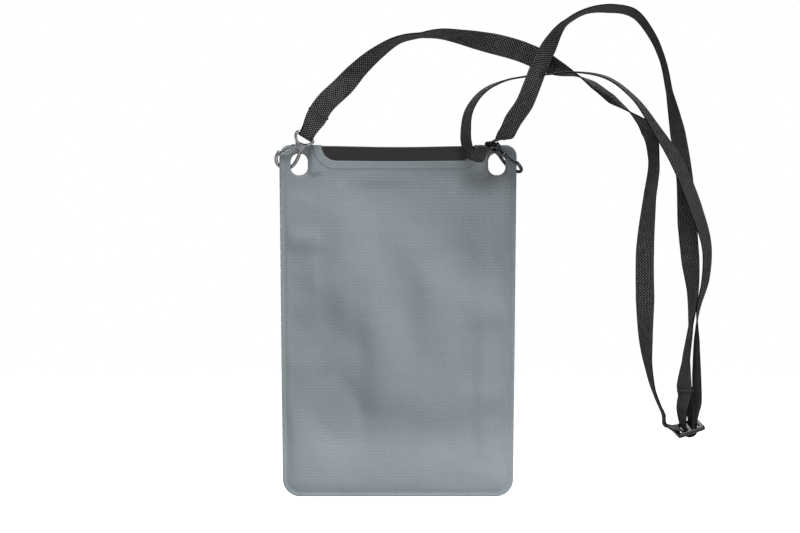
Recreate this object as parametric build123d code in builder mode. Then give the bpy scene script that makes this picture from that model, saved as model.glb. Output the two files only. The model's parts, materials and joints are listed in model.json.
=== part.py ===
from build123d import *

import math
import os

os.makedirs("parts", exist_ok=True)

# Flat welded pouch that hangs from a webbing strap by two small snap hooks.
# +Z is up towards the mouth, +X runs along the mouth, -Y is the visible face.
# The origin is the middle of the flat back face.

# ---------------------------------------------------------------- pouch sizes
POUCH_HEIGHT = 249.0
TOP_WIDTH = 168.4
BOTTOM_WIDTH = 163.0
EAR_RADIUS = 8.0
BOTTOM_RADIUS = 12.5
SKIN = 0.7  # coated fabric
BELLY_RISE = 4.5  # weld plane to the outer face of either panel
MOUTH_RISE = 2.5  # the same where the panel covers a seal strip
WELD_Y = -BELLY_RISE
TOP_Z = POUCH_HEIGHT / 2
BOTTOM_Z = -TOP_Z
WELD_WIDTH = 4.0
WELD_X = 77.5
BELLY_X = 66.0
BELLY_LOW_Z = BOTTOM_Z + 15.5
BELLY_HIGH_Z = TOP_Z - 34.5
MOUTH_Z = TOP_Z - 21.5
EAR_FOOT_Z = TOP_Z - 26.5
MOUTH_X = 61.5
BEYOND = 200.0

# slot in each upper corner
SLOT_X = 70.0
SLOT_DROP = 13.7
SLOT_WIDTH = 12.2
SLOT_HEIGHT = 15.4
SLOT_RADIUS = 5.7

# cut-out that shows the seal strip
CUT_WIDTH = 108.0
CUT_DEPTH = 11.0
CUT_RADIUS = 10.5

# ---------------------------------------------------------------- seal strips
SEAL_LENGTH = 120.0
SEAL_THICKNESS = 1.7
SEAL_HEIGHT = 17.0
SEAL_TOP_Z = TOP_Z - 0.6
SEAL_GAP = 0.05  # from the weld plane
MAGNET_LENGTH = 20.0
MAGNET_HEIGHT = 4.2
MAGNET_THICKNESS = 0.8
MAGNET_COUNT = 4
MAGNET_PITCH = 27.0
MAGNET_Z = TOP_Z - 14.0
MAGNET_PLAY = 0.1

# ----------------------------------------------------------------- snap hooks
WIRE_R = 1.25
BEND_R = 7.0
BEND_CENTRE = (-4.2, -14.2)
NOSE_TIP = (-11.5, -12.2)
EYE_X = -2.5
EYE_TOP = 10.4  # outer edge of the eye's straight bar
EYE_SIDE = 7.0  # where the straight sides meet the bow
EYE_LOW = 0.6  # outer edge of the bow
EYE_WIDTH = 15.6
EYE_CORNER = 3.2
EYE_BAR = 2.0
YOKE_THICKNESS = 2.2
PIVOT = (-5.0, -3.4)
CHEEK_R = 1.9
CHEEK_DEPTH = 3.0
FORK_R = 2.2
FORK_GAP = 1.6
PIN_R = 0.65
PIN_HOLE_R = 0.67
PIN_LENGTH = 3.0
RIVET_R = 1.05
RIVET_HEIGHT = 0.35
HUB_R = 1.6
HUB_BORE_R = 0.71
HUB_LOW = -0.7
HUB_HIGH = 0.15
GATE_R = 0.9
GATE_START = (-6.0, -5.7)
GATE_END = (-9.2, -12.3)
SPRING_R = 1.0
SPRING_WIRE_R = 0.19
SPRING_LEVEL = 0.46

LEFT_YOKE = (-68.0, -9.15, 122.8)
LEFT_HANG = 34.0
LEFT_LEAN = 27.0
LEFT_TURN = 0.0
RIGHT_YOKE = (70.0, -8.9, 119.5)
RIGHT_HANG = -39.7
RIGHT_LEAN = 31.0
RIGHT_TURN = 135.4

# --------------------------------------------------------- strap and slider
STRAP_WIDTH = 15.0
SQUEEZED_WIDTH = 10.6  # where the webbing passes a hook eye
STRAP_THICKNESS = 1.2
PLY_GAP = 0.1
SECTION_STEP = 6.0
BARTACK_LENGTH = 2.2
BARTACK_THREAD = 0.5
BARTACK_REACH = 18.0  # eye bar to the stitching

SLIDER_CENTRE = (204.5, -14.5, -75.5)
SLIDER_ALONG = (0.94, 0.115, 0.32)
SLIDER_FACE = (-0.277, -0.284, 0.918)
SLIDER_LENGTH = 20.4
SLIDER_WIDTH = 23.0
SLIDER_THICKNESS = 3.0
SLIDER_SLOT = 5.4
SLIDER_BAR = 3.2
SLIDER_OPENING = 17.2
SLIDER_CORNER = 2.4
SLIDER_EDGE = 0.7


# ------------------------------------------------------------------- panels
def panel_space(side, drop):
    """Space between the weld plane and a surface lying `drop` inside the panel's outer face."""
    flat = SKIN - drop
    inset = drop

    def y_at(rise):
        return WELD_Y + side * rise

    up_the_middle = [
        (WELD_Y, BOTTOM_Z - BEYOND),
        (y_at(flat), BOTTOM_Z - BEYOND),
        (y_at(flat), BOTTOM_Z + WELD_WIDTH),
        (y_at(BELLY_RISE - drop), BELLY_LOW_Z),
        (y_at(BELLY_RISE - drop), BELLY_HIGH_Z),
        (y_at(MOUTH_RISE - drop), MOUTH_Z),
        (y_at(MOUTH_RISE - drop), TOP_Z + BEYOND),
        (WELD_Y, TOP_Z + BEYOND),
    ]
    over_the_width = [
        (-BEYOND, WELD_Y),
        (-BEYOND, y_at(flat)),
        (-WELD_X, y_at(flat)),
        (-BELLY_X, y_at(BELLY_RISE - drop)),
        (BELLY_X, y_at(BELLY_RISE - drop)),
        (WELD_X, y_at(flat)),
        (BEYOND, y_at(flat)),
        (BEYOND, WELD_Y),
    ]
    if flat <= 0:
        up_the_middle = up_the_middle[2:]
        up_the_middle.append((WELD_Y, BOTTOM_Z + WELD_WIDTH))
        over_the_width = over_the_width[2:-2]
    with BuildPart() as space:
        with BuildSketch(Plane.YZ):
            with BuildLine():
                Polyline(*up_the_middle, close=True)
            make_face()
        extrude(amount=BEYOND, both=True)
        with BuildSketch(Plane.XY):
            with BuildLine():
                Polyline(*over_the_width, close=True)
            make_face()
        extrude(amount=2 * BEYOND, both=True, mode=Mode.INTERSECT)
        # the ears carry no seal strip, so the panel lies flat on the weld plane there
        ear_y = WELD_Y + side * (flat + BEYOND / 2)
        ear_low = EAR_FOOT_Z - inset
        for end in (-1, 1):
            ear_x = end * (MOUTH_X - inset + BEYOND / 2)
            with Locations((ear_x, ear_y, ear_low + BEYOND)):
                Box(BEYOND, BEYOND, 2 * BEYOND, mode=Mode.SUBTRACT)
    return space.part


def make_panel(side):
    """One coated-fabric panel: side +1 is the back, -1 the visible front."""
    with BuildPart() as panel:
        with BuildSketch(Plane.XZ) as outline:
            with BuildLine():
                Polyline(
                    (-BOTTOM_WIDTH / 2, BOTTOM_Z),
                    (BOTTOM_WIDTH / 2, BOTTOM_Z),
                    (TOP_WIDTH / 2, TOP_Z),
                    (-TOP_WIDTH / 2, TOP_Z),
                    close=True,
                )
            make_face()
            corners = outline.vertices().sort_by(Axis.Y)
            fillet(corners[:2], BOTTOM_RADIUS)
            fillet(outline.vertices().group_by(Axis.Y)[-1], EAR_RADIUS)
            with Locations((-SLOT_X, TOP_Z - SLOT_DROP), (SLOT_X, TOP_Z - SLOT_DROP)):
                RectangleRounded(SLOT_WIDTH, SLOT_HEIGHT, SLOT_RADIUS, mode=Mode.SUBTRACT)
            with Locations((0, TOP_Z)):
                RectangleRounded(CUT_WIDTH, 2 * CUT_DEPTH, CUT_RADIUS, mode=Mode.SUBTRACT)
        extrude(amount=BEYOND, both=True)
        add(panel_space(side, 0.0), mode=Mode.INTERSECT)
        add(panel_space(side, SKIN), mode=Mode.SUBTRACT)
    return panel.part


back_panel = make_panel(1)
back_panel.label = "back_panel"
export_step(back_panel, "parts/back_panel.step")

front_panel = make_panel(-1)
front_panel.label = "front_panel"
export_step(front_panel, "parts/front_panel.step")


# -------------------------------------------------------------- seal strips
def make_seal_strip(side):
    """Rubbery lip with full-round edges and pockets for its magnets on the panel side."""
    middle_y = WELD_Y + side * (SEAL_GAP + SEAL_THICKNESS / 2)
    outer_y = middle_y + side * SEAL_THICKNESS / 2
    with BuildPart() as strip:
        with BuildSketch(Plane.YZ):
            with Locations((middle_y, SEAL_TOP_Z - SEAL_HEIGHT / 2)):
                SlotOverall(SEAL_HEIGHT, SEAL_THICKNESS, rotation=90)
        extrude(amount=SEAL_LENGTH / 2, both=True)
        with Locations((0, outer_y, MAGNET_Z)):
            with GridLocations(MAGNET_PITCH, 1, MAGNET_COUNT, 1):
                Box(
                    MAGNET_LENGTH + 2 * MAGNET_PLAY,
                    2 * (MAGNET_THICKNESS + MAGNET_PLAY),
                    MAGNET_HEIGHT + 2 * MAGNET_PLAY,
                    mode=Mode.SUBTRACT,
                )
    return strip.part


def make_magnets(side):
    """Row of flat magnet bars, flush with the panel side of a seal strip."""
    outer_y = WELD_Y + side * (SEAL_GAP + SEAL_THICKNESS)
    with BuildPart() as magnets:
        with Locations((0, outer_y - side * MAGNET_THICKNESS / 2, MAGNET_Z)):
            with GridLocations(MAGNET_PITCH, 1, MAGNET_COUNT, 1):
                Box(MAGNET_LENGTH, MAGNET_THICKNESS, MAGNET_HEIGHT)
    return magnets.part


for side, name in ((1, "back"), (-1, "front")):
    seal_strip = make_seal_strip(side)
    seal_strip.label = f"{name}_seal_strip"
    export_step(seal_strip, f"parts/{name}_seal_strip.step")
    seal_magnets = make_magnets(side)
    seal_magnets.label = f"{name}_seal_magnets"
    export_step(seal_magnets, f"parts/{name}_seal_magnets.step")


# --------------------------------------------------------------- snap hooks
def hook_plane(yoke, turn, hang, lean):
    """Hook frame: x across the ring, y from the ring to the eye, z to the gate side's front."""
    placed = Pos(*yoke) * Rot(lean, 0, 0) * Rot(0, hang, 0) * Rot(0, 0, turn)
    return Plane(placed * Plane.XZ.location)


def make_hook_body():
    """Webbing eye, yoke and the open ring that ends in the nose."""
    with BuildPart() as body:
        with BuildSketch(Plane.XY.offset(-EYE_BAR / 2)) as eye:
            with BuildLine():
                left_x = EYE_X - EYE_WIDTH / 2
                right_x = EYE_X + EYE_WIDTH / 2
                ThreePointArc((left_x, EYE_SIDE), (EYE_X, EYE_LOW), (right_x, EYE_SIDE))
                Polyline((right_x, EYE_SIDE), (right_x, EYE_TOP), (left_x, EYE_TOP), (left_x, EYE_SIDE))
            make_face()
            fillet(eye.vertices().group_by(Axis.Y)[-1], EYE_CORNER)
            offset(amount=-EYE_BAR, mode=Mode.SUBTRACT)
        extrude(amount=EYE_BAR)
        fillet(body.edges(), EYE_BAR * 0.3)
        with BuildLine() as spine:
            shoulder = Spline(
                (-0.6, -1.0),
                (1.3, -4.9),
                (2.4, -9.4),
                (BEND_CENTRE[0] + BEND_R, BEND_CENTRE[1]),
                tangents=((0.5, -1.0), (0.0, -1.0)),
            )
            bend = CenterArc(BEND_CENTRE, BEND_R, 0, -180)
            TangentArc(bend @ 1, NOSE_TIP, tangent=bend % 1)
        with BuildSketch(Plane(origin=shoulder @ 0, z_dir=shoulder % 0)):
            Circle(WIRE_R)
        sweep(path=spine.wires()[0])
        with Locations((NOSE_TIP[0], NOSE_TIP[1], 0)):
            Sphere(WIRE_R)
        with BuildSketch(Plane.XY.offset(-YOKE_THICKNESS / 2)):
            with BuildLine():
                Polyline((-6.6, 2.0), (1.9, 2.0), (1.6, -3.4), (-1.0, -2.4), (-4.0, -2.6), close=True)
            make_face()
        extrude(amount=YOKE_THICKNESS)
        with Locations((PIVOT[0], PIVOT[1], 0)):
            Cylinder(CHEEK_R, CHEEK_DEPTH)
            Cylinder(FORK_R, FORK_GAP, mode=Mode.SUBTRACT)
            Cylinder(PIN_HOLE_R, 2 * CHEEK_DEPTH, mode=Mode.SUBTRACT)
    return body.part


def make_gate():
    """Sprung gate: hub on the pin, flat neck and a round arm that closes on the nose."""
    with BuildPart() as gate:
        with BuildLine() as arm:
            Line(GATE_START, GATE_END)
        with BuildSketch(Plane(origin=arm.line @ 0, z_dir=arm.line % 0)):
            Circle(GATE_R)
        sweep(path=arm.wires()[0])
        with Locations((GATE_END[0], GATE_END[1], 0)):
            Sphere(GATE_R)
        with BuildSketch(Plane.XY.offset(HUB_LOW)):
            with Locations(PIVOT):
                Circle(HUB_R)
            with BuildLine():
                Polyline(
                    (PIVOT[0] - 0.9, PIVOT[1]),
                    (PIVOT[0] + 0.6, PIVOT[1]),
                    (GATE_START[0] + 0.6, GATE_START[1] - 0.8),
                    (GATE_START[0] - 0.8, GATE_START[1] - 0.2),
                    close=True,
                )
            make_face()
            with Locations(PIVOT):
                Circle(HUB_BORE_R, mode=Mode.SUBTRACT)
        extrude(amount=HUB_HIGH - HUB_LOW)
    return gate.part


def make_gate_pin():
    """Rivet through the fork, headed on both sides."""
    with BuildPart() as pin:
        with Locations((PIVOT[0], PIVOT[1], 0)):
            Cylinder(PIN_R, PIN_LENGTH)
        for end in (-1, 1):
            level = end * (PIN_LENGTH + RIVET_HEIGHT) / 2
            with Locations((PIVOT[0], PIVOT[1], level)):
                Cylinder(RIVET_R, RIVET_HEIGHT)
    return pin.part


def make_gate_spring():
    """Coil round the pin that holds the gate shut."""
    with BuildPart() as spring:
        with Locations((PIVOT[0], PIVOT[1], SPRING_LEVEL)):
            Torus(SPRING_R, SPRING_WIRE_R)
    return spring.part


LEFT_PLANE = hook_plane(LEFT_YOKE, LEFT_TURN, LEFT_HANG, LEFT_LEAN)
RIGHT_PLANE = hook_plane(RIGHT_YOKE, RIGHT_TURN, RIGHT_HANG, RIGHT_LEAN)
HOOK_PIECES = {
    "hook_body": make_hook_body(),
    "hook_gate": make_gate(),
    "hook_pin": make_gate_pin(),
    "hook_spring": make_gate_spring(),
}

for hand, plane in (("left", LEFT_PLANE), ("right", RIGHT_PLANE)):
    for piece_name, piece in HOOK_PIECES.items():
        placed_piece = plane.location * piece
        placed_piece.label = f"{hand}_{piece_name}"
        export_step(placed_piece, f"parts/{hand}_{piece_name}.step")


# ------------------------------------------------------------------- slider
SLIDER_PLANE = Plane(origin=SLIDER_CENTRE, x_dir=SLIDER_ALONG, z_dir=SLIDER_FACE)

with BuildPart() as slider_frame:
    with BuildSketch(Plane.XY.offset(-SLIDER_THICKNESS / 2)):
        RectangleRounded(SLIDER_LENGTH, SLIDER_WIDTH, SLIDER_CORNER)
        with GridLocations(SLIDER_BAR + SLIDER_SLOT, 1, 2, 1):
            RectangleRounded(SLIDER_SLOT, SLIDER_OPENING, SLIDER_EDGE, mode=Mode.SUBTRACT)
    extrude(amount=SLIDER_THICKNESS)
    fillet(slider_frame.faces().filter_by(Axis.Z).edges(), SLIDER_EDGE)

strap_slider = SLIDER_PLANE.location * slider_frame.part
strap_slider.label = "strap_slider"
export_step(strap_slider, "parts/strap_slider.step")


# -------------------------------------------------------------------- strap
TOWARDS_VIEWER = Vector(0, -1, 0)


def rolled(stops):
    """Turns (x, y, z, roll) stops of one run into (position, across, width).

    Roll 0 lays the webbing flat in the XZ plane; a positive roll lifts its left edge, seen
    along the run, towards -Y.
    """
    places = [Vector(x, y, z) for x, y, z, roll in stops]
    out = []
    for index, place in enumerate(places):
        ahead = places[min(index + 1, len(places) - 1)]
        behind = places[max(index - 1, 0)]
        along = ahead - behind
        left = Vector(-along.Z, 0, along.X).normalized()
        roll = math.radians(stops[index][3])
        across = left * math.cos(roll) + TOWARDS_VIEWER * math.sin(roll)
        out.append((place, across, STRAP_WIDTH))
    return out


def turned(centre, along, out_of, across, offsets, width):
    """Stops given as (distance along, height out) in the plane square to `across`."""
    return [(centre + along * s + out_of * n, across, width) for s, n in offsets]


# run A: left hook to the slider
RUN_A = [
    (-38, -6.0, 167, 10),
    (-28, -6.0, 178, 36),
    (-14, -8.0, 190, 55),
    (1, -9.0, 199, 73),
    (16, -9.0, 202, 80),
    (30, -9.0, 203, 66),
    (44, -8.0, 201, 52),
    (59, -6.0, 198, 30),
    (73, -4.0, 195, 8),
    (87, -3.0, 191, 4),
    (99, -4.0, 186, 10),
    (113, -7.0, 179, 48),
    (126, -8.5, 174, 88),
    (138, -9.0, 167, 112),
    (151, -9.0, 157, 118),
    (165, -9.0, 147, 92),
    (177, -8.0, 135, 50),
    (181, -9.0, 114, 64),
    (178, -8.5, 86, 58),
    (175, -6.0, 50, 36),
    (175, -6.0, 15, 33),
    (175.5, -8.0, -14, 56),
    (177, -10.5, -31, 74),
    (181, -12.0, -50, 86),
    (186.5, -12.5, -64, 88),
]
# run B: slider to the right hook, arching over runs A and C
RUN_B = [
    (211, -12.5, -58, 110),
    (211, -12.5, -39, 108),
    (211, -13.0, -14, 98),
    (212, -13.5, 8, 78),
    (217, -14.5, 29, 66),
    (218, -16.0, 50, 60),
    (209, -18.0, 82, 48),
    (197, -19.0, 111, 50),
    (182, -20.0, 135, 62),
    (166, -22.0, 157, 75),
    (147, -23.5, 171, 80),
    (126, -24.0, 175, 86),
    (106, -17.0, 174, 86),
    (92, -9.5, 173, 86),
    (76, -8.8, 170, 86),
    (60, -10.0, 162, 78),
    (50, -14.0, 148, 70),
    (47.8, -17.5, 134, 64),
    (48.6, -18.5, 124, 62),
]
# run C: right hook back to the slider, over runs A and B at its start
RUN_C = [
    (81, -19.0, 141, 36),
    (89, -22.5, 153, 34),
    (94, -23.5, 165, 34),
    (99, -21.5, 178, 36),
    (107, -15.0, 194, 45),
    (119, -10.0, 211, 78),
    (133, -9.5, 219, 80),
    (149, -9.0, 221, 71),
    (166, -9.0, 218, 71),
    (179, -9.0, 203, 76),
    (187, -9.5, 185, 80),
    (192, -9.0, 162, 78),
    (198, -7.5, 133, 50),
    (203, -7.0, 100, 44),
    (205, -5.5, 68, 28),
    (207, -7.0, 43, 36),
    (208.5, -9.5, 22, 62),
    (207, -11.0, -3, 84),
    (203.4, -11.8, -29, 74),
]

ply = STRAP_THICKNESS / 2 + PLY_GAP / 2

# sewn loop round the bar of the left eye, tail behind the main run
left_bar = LEFT_PLANE.from_local_coords(
    Vector(EYE_X, EYE_TOP - EYE_BAR / 2, 0)
)
left_across = LEFT_PLANE.x_dir * -1
left_aim = Vector(*RUN_A[0][:3]) - left_bar
left_along = (left_aim - left_across * left_aim.dot(left_across)).normalized()
left_out = left_along.cross(left_across) * -1
if left_out.Y > 0:
    left_out = left_out * -1
wrap_r = EYE_BAR / 2 + STRAP_THICKNESS / 2 + 3 * PLY_GAP
left_tail = turned(
    left_bar,
    left_along,
    left_out,
    left_across,
    [(BARTACK_REACH + 5, -ply), (BARTACK_REACH - 4, -ply)],
    STRAP_WIDTH,
)
left_wrap = turned(
    left_bar,
    left_along,
    left_out,
    left_across,
    [(3.6, -wrap_r)]
    + [
        (wrap_r * math.cos(math.radians(a)), wrap_r * math.sin(math.radians(a)))
        for a in (-90, -120, -150, -180, -210, -240, -270)
    ]
    + [(3.6, wrap_r)],
    SQUEEZED_WIDTH,
)
left_start = turned(
    left_bar,
    left_along,
    left_out,
    left_across,
    [(BARTACK_REACH - 4, ply), (BARTACK_REACH + 5, ply)],
    STRAP_WIDTH,
)

# slider frame: along its length, out of its face, across its bars
slider_centre = Vector(*SLIDER_CENTRE)
slider_along = SLIDER_PLANE.x_dir
slider_out = SLIDER_PLANE.z_dir
slider_across = SLIDER_PLANE.y_dir * -1
through_slider = turned(
    slider_centre,
    slider_along,
    slider_out,
    slider_across,
    [
        (-13.5, 6.4),
        (-8.8, 2.9),
        (-6.3, 2.1),
        (-4.9, 0.3),
        (-4.2, -2.2),
        (-2.4, -3.9),
        (0.0, -4.4),
        (2.4, -3.9),
        (4.2, -2.2),
        (4.9, 0.3),
        (5.4, 3.2),
    ],
    STRAP_WIDTH,
)
LOOP_LEAN = -4.0  # the sewn loop at the slider leans from straight up
LOOP_TOP_ACROSS = Vector(0.58, -0.8, -0.1)  # the loop twists towards the viewer as it rises
LOOP_REACH = 26.0
loop_up = Vector(math.sin(math.radians(LOOP_LEAN)), 0, math.cos(math.radians(LOOP_LEAN)))


def loop_stops(offsets):
    """Stops of one leg of the sewn loop, given as (sideways, height above the slider)."""
    out = []
    for sideways, height in offsets:
        share = height / LOOP_REACH
        across = (slider_across * (1 - share) + LOOP_TOP_ACROSS * share).normalized()
        side = loop_up.cross(across).normalized()
        if side.X < 0:
            side = side * -1
        out.append((slider_centre + side * sideways + loop_up * height, across, STRAP_WIDTH))
    return out


loop_main = loop_stops(
    [(-ply, LOOP_REACH + 3), (-ply, LOOP_REACH - 3), (-3.4, 14.0), (-3.7, 7.0), (-3.3, 2.0)]
)
loop_turn = turned(
    slider_centre,
    slider_along,
    slider_out,
    slider_across,
    [(-2.9, -0.4), (-2.2, -2.1), (0.0, -2.9), (2.2, -2.1), (2.9, -0.4)],
    STRAP_WIDTH,
)
loop_tail = loop_stops(
    [(3.2, 2.0), (3.6, 7.0), (3.2, 14.0), (ply, LOOP_REACH - 3), (ply, LOOP_REACH + 3)]
)

# through the right eye, square to the hook
right_eye = RIGHT_PLANE.from_local_coords(Vector(EYE_X, EYE_TOP - EYE_BAR - 1.5, 0))
right_across = RIGHT_PLANE.x_dir * -1
through_eye = [
    (Vector(52.5, -18.5, 117.5), Vector(0.1, -0.85, 0.5).normalized(), STRAP_WIDTH),
    (Vector(59.0, -17.5, 118.0), Vector(-0.25, -0.68, 0.7).normalized(), STRAP_WIDTH),
    (right_eye - RIGHT_PLANE.z_dir * 2.2, right_across, SQUEEZED_WIDTH),
    (right_eye + RIGHT_PLANE.z_dir * 2.2, right_across, SQUEEZED_WIDTH),
    (Vector(76.0, -17.0, 131.5), Vector(-0.62, -0.7, 0.4).normalized(), STRAP_WIDTH),
]

strap_stops = (
    left_tail
    + left_wrap
    + left_start
    + rolled(RUN_A)
    + through_slider
    + rolled(RUN_B)
    + through_eye
    + rolled(RUN_C)
    + loop_main
    + loop_turn
    + loop_tail
)


def smooth_sections(stops):
    """Closely spaced (position, tangent, across, width) along a smooth curve through the stops."""
    places = [stop[0] for stop in stops]
    last = len(places) - 1
    gaps = [(places[i + 1] - places[i]).length for i in range(last)]
    steps = [(places[i + 1] - places[i]) * (1 / gaps[i]) for i in range(last)]
    slopes = [steps[0]]
    for i in range(1, last):
        share = gaps[i - 1] / (gaps[i - 1] + gaps[i])
        slopes.append(steps[i - 1] * (1 - share) + steps[i] * share)
    slopes.append(steps[-1])
    out = []
    for i in range(last):
        count = max(1, math.ceil(gaps[i] / SECTION_STEP))
        for k in range(count + (i == last - 1)):
            t = k / count
            place = (
                places[i] * (2 * t**3 - 3 * t**2 + 1)
                + slopes[i] * (gaps[i] * (t**3 - 2 * t**2 + t))
                + places[i + 1] * (3 * t**2 - 2 * t**3)
                + slopes[i + 1] * (gaps[i] * (t**3 - t**2))
            )
            tangent = (
                places[i] * (6 * t**2 - 6 * t)
                + slopes[i] * (gaps[i] * (3 * t**2 - 4 * t + 1))
                + places[i + 1] * (6 * t - 6 * t**2)
                + slopes[i + 1] * (gaps[i] * (3 * t**2 - 2 * t))
            ).normalized()
            across = stops[i][1] * (1 - t) + stops[i + 1][1] * t
            across = (across - tangent * across.dot(tangent)).normalized()
            out.append((place, tangent, across, stops[i][2] * (1 - t) + stops[i + 1][2] * t))
    return out


with BuildPart() as strap_webbing:
    for place, tangent, across, width in smooth_sections(strap_stops):
        with BuildSketch(Plane(origin=place, x_dir=across, z_dir=tangent)):
            Rectangle(width, STRAP_THICKNESS)
    loft(ruled=True)

strap_webbing.part.label = "strap_webbing"
export_step(strap_webbing.part, "parts/strap_webbing.step")


# ----------------------------------------------------------------- bartacks
def make_bartack(plane):
    """Band of thread round both plies of a sewn loop."""
    opening = STRAP_WIDTH + 2 * PLY_GAP
    depth = 2 * STRAP_THICKNESS + 3 * PLY_GAP
    with BuildPart() as bartack:
        with BuildSketch(plane.offset(-BARTACK_LENGTH / 2)):
            RectangleRounded(
                opening + 2 * BARTACK_THREAD, depth + 2 * BARTACK_THREAD, BARTACK_THREAD
            )
            Rectangle(opening, depth, mode=Mode.SUBTRACT)
        extrude(amount=BARTACK_LENGTH)
    return bartack.part


hook_end_bartack = make_bartack(
    Plane(origin=left_bar + left_along * BARTACK_REACH, x_dir=left_across, z_dir=left_along)
)
hook_end_bartack.label = "hook_end_bartack"
export_step(hook_end_bartack, "parts/hook_end_bartack.step")

slider_end_bartack = make_bartack(
    Plane(origin=slider_centre + loop_up * LOOP_REACH, x_dir=LOOP_TOP_ACROSS, z_dir=loop_up)
)
slider_end_bartack.label = "slider_end_bartack"
export_step(slider_end_bartack, "parts/slider_end_bartack.step")
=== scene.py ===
import json
import math

import bpy
import bmesh
import numpy as np
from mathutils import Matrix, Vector, noise
from mathutils.geometry import delaunay_2d_cdt


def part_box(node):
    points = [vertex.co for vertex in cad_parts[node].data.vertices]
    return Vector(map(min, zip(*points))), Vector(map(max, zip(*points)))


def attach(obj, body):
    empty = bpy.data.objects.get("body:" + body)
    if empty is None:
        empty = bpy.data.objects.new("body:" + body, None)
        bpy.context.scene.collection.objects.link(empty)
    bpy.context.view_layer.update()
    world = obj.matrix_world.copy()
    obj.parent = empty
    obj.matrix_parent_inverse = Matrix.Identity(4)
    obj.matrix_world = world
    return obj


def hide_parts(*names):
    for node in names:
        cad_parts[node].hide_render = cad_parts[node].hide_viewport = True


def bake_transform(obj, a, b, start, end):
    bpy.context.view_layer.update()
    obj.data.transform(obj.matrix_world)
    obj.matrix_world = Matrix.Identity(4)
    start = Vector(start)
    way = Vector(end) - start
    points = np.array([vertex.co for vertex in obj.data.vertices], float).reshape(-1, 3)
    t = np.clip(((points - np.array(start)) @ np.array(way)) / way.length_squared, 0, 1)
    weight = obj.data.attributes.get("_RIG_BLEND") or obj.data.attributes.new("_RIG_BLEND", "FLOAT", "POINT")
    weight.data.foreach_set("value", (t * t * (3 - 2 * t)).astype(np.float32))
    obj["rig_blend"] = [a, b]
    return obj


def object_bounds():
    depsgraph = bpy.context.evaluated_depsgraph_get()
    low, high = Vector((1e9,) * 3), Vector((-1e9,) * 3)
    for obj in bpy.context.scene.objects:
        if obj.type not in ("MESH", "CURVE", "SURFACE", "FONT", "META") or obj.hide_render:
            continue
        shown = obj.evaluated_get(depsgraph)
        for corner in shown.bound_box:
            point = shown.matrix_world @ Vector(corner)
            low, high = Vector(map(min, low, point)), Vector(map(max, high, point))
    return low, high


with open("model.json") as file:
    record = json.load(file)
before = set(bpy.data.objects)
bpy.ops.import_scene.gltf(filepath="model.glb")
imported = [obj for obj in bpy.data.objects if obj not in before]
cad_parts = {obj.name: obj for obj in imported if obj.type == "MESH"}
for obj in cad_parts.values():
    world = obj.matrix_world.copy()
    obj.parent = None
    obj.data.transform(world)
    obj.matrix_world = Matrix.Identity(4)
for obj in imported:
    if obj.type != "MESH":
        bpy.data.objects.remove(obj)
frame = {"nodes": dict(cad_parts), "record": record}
cad_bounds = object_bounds()
MM = 0.001
record = frame["record"]
joints = {j["name"]: j for j in record["behaviour"]["joints"]}
mounts = {m["name"]: m for m in record["mounts"]}


# ------------------------------------------------------------------ helpers
def smoothstep(t):
    t = np.clip(t, 0.0, 1.0)
    return t * t * (3.0 - 2.0 * t)


def new_object(name, verts, faces, smooth=True):
    mesh = bpy.data.meshes.new(name)
    mesh.from_pydata([tuple(v) for v in verts], [], [tuple(f) for f in faces])
    mesh.validate()
    mesh.update()
    if smooth:
        mesh.polygons.foreach_set("use_smooth", [True] * len(mesh.polygons))
    obj = bpy.data.objects.new(name, mesh)
    bpy.context.scene.collection.objects.link(obj)
    return obj


def vertex_value(obj, name, values):
    attribute = obj.data.attributes.new(name, "FLOAT", "POINT")
    attribute.data.foreach_set("value", np.asarray(values, np.float32))


def evaluated_copy(obj, name):
    dg = bpy.context.evaluated_depsgraph_get()
    mesh = bpy.data.meshes.new_from_object(obj.evaluated_get(dg), depsgraph=dg)
    mesh.name = name
    out = bpy.data.objects.new(name, mesh)
    bpy.context.scene.collection.objects.link(out)
    return out


def rounded_copy(node, name, voxel, smoothing):
    """A softened cast of a hard CAD piece: remeshed finely, then smoothed."""
    source = frame["nodes"][node]
    mesh = source.data.copy()
    work = bpy.data.objects.new(name + "_work", mesh)
    bpy.context.scene.collection.objects.link(work)
    bm = bmesh.new()
    bm.from_mesh(mesh)
    bmesh.ops.remove_doubles(bm, verts=bm.verts, dist=1e-6)
    bm.to_mesh(mesh)
    bm.free()
    remesh = work.modifiers.new("remesh", "REMESH")
    remesh.mode = "VOXEL"
    remesh.voxel_size = voxel
    soften = work.modifiers.new("soften", "SMOOTH")
    soften.factor = 0.5
    soften.iterations = smoothing
    out = evaluated_copy(work, name)
    bpy.data.objects.remove(work)
    out.data.materials.clear()
    out.data.polygons.foreach_set("use_smooth", [True] * len(out.data.polygons))
    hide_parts(node)
    return out


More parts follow.
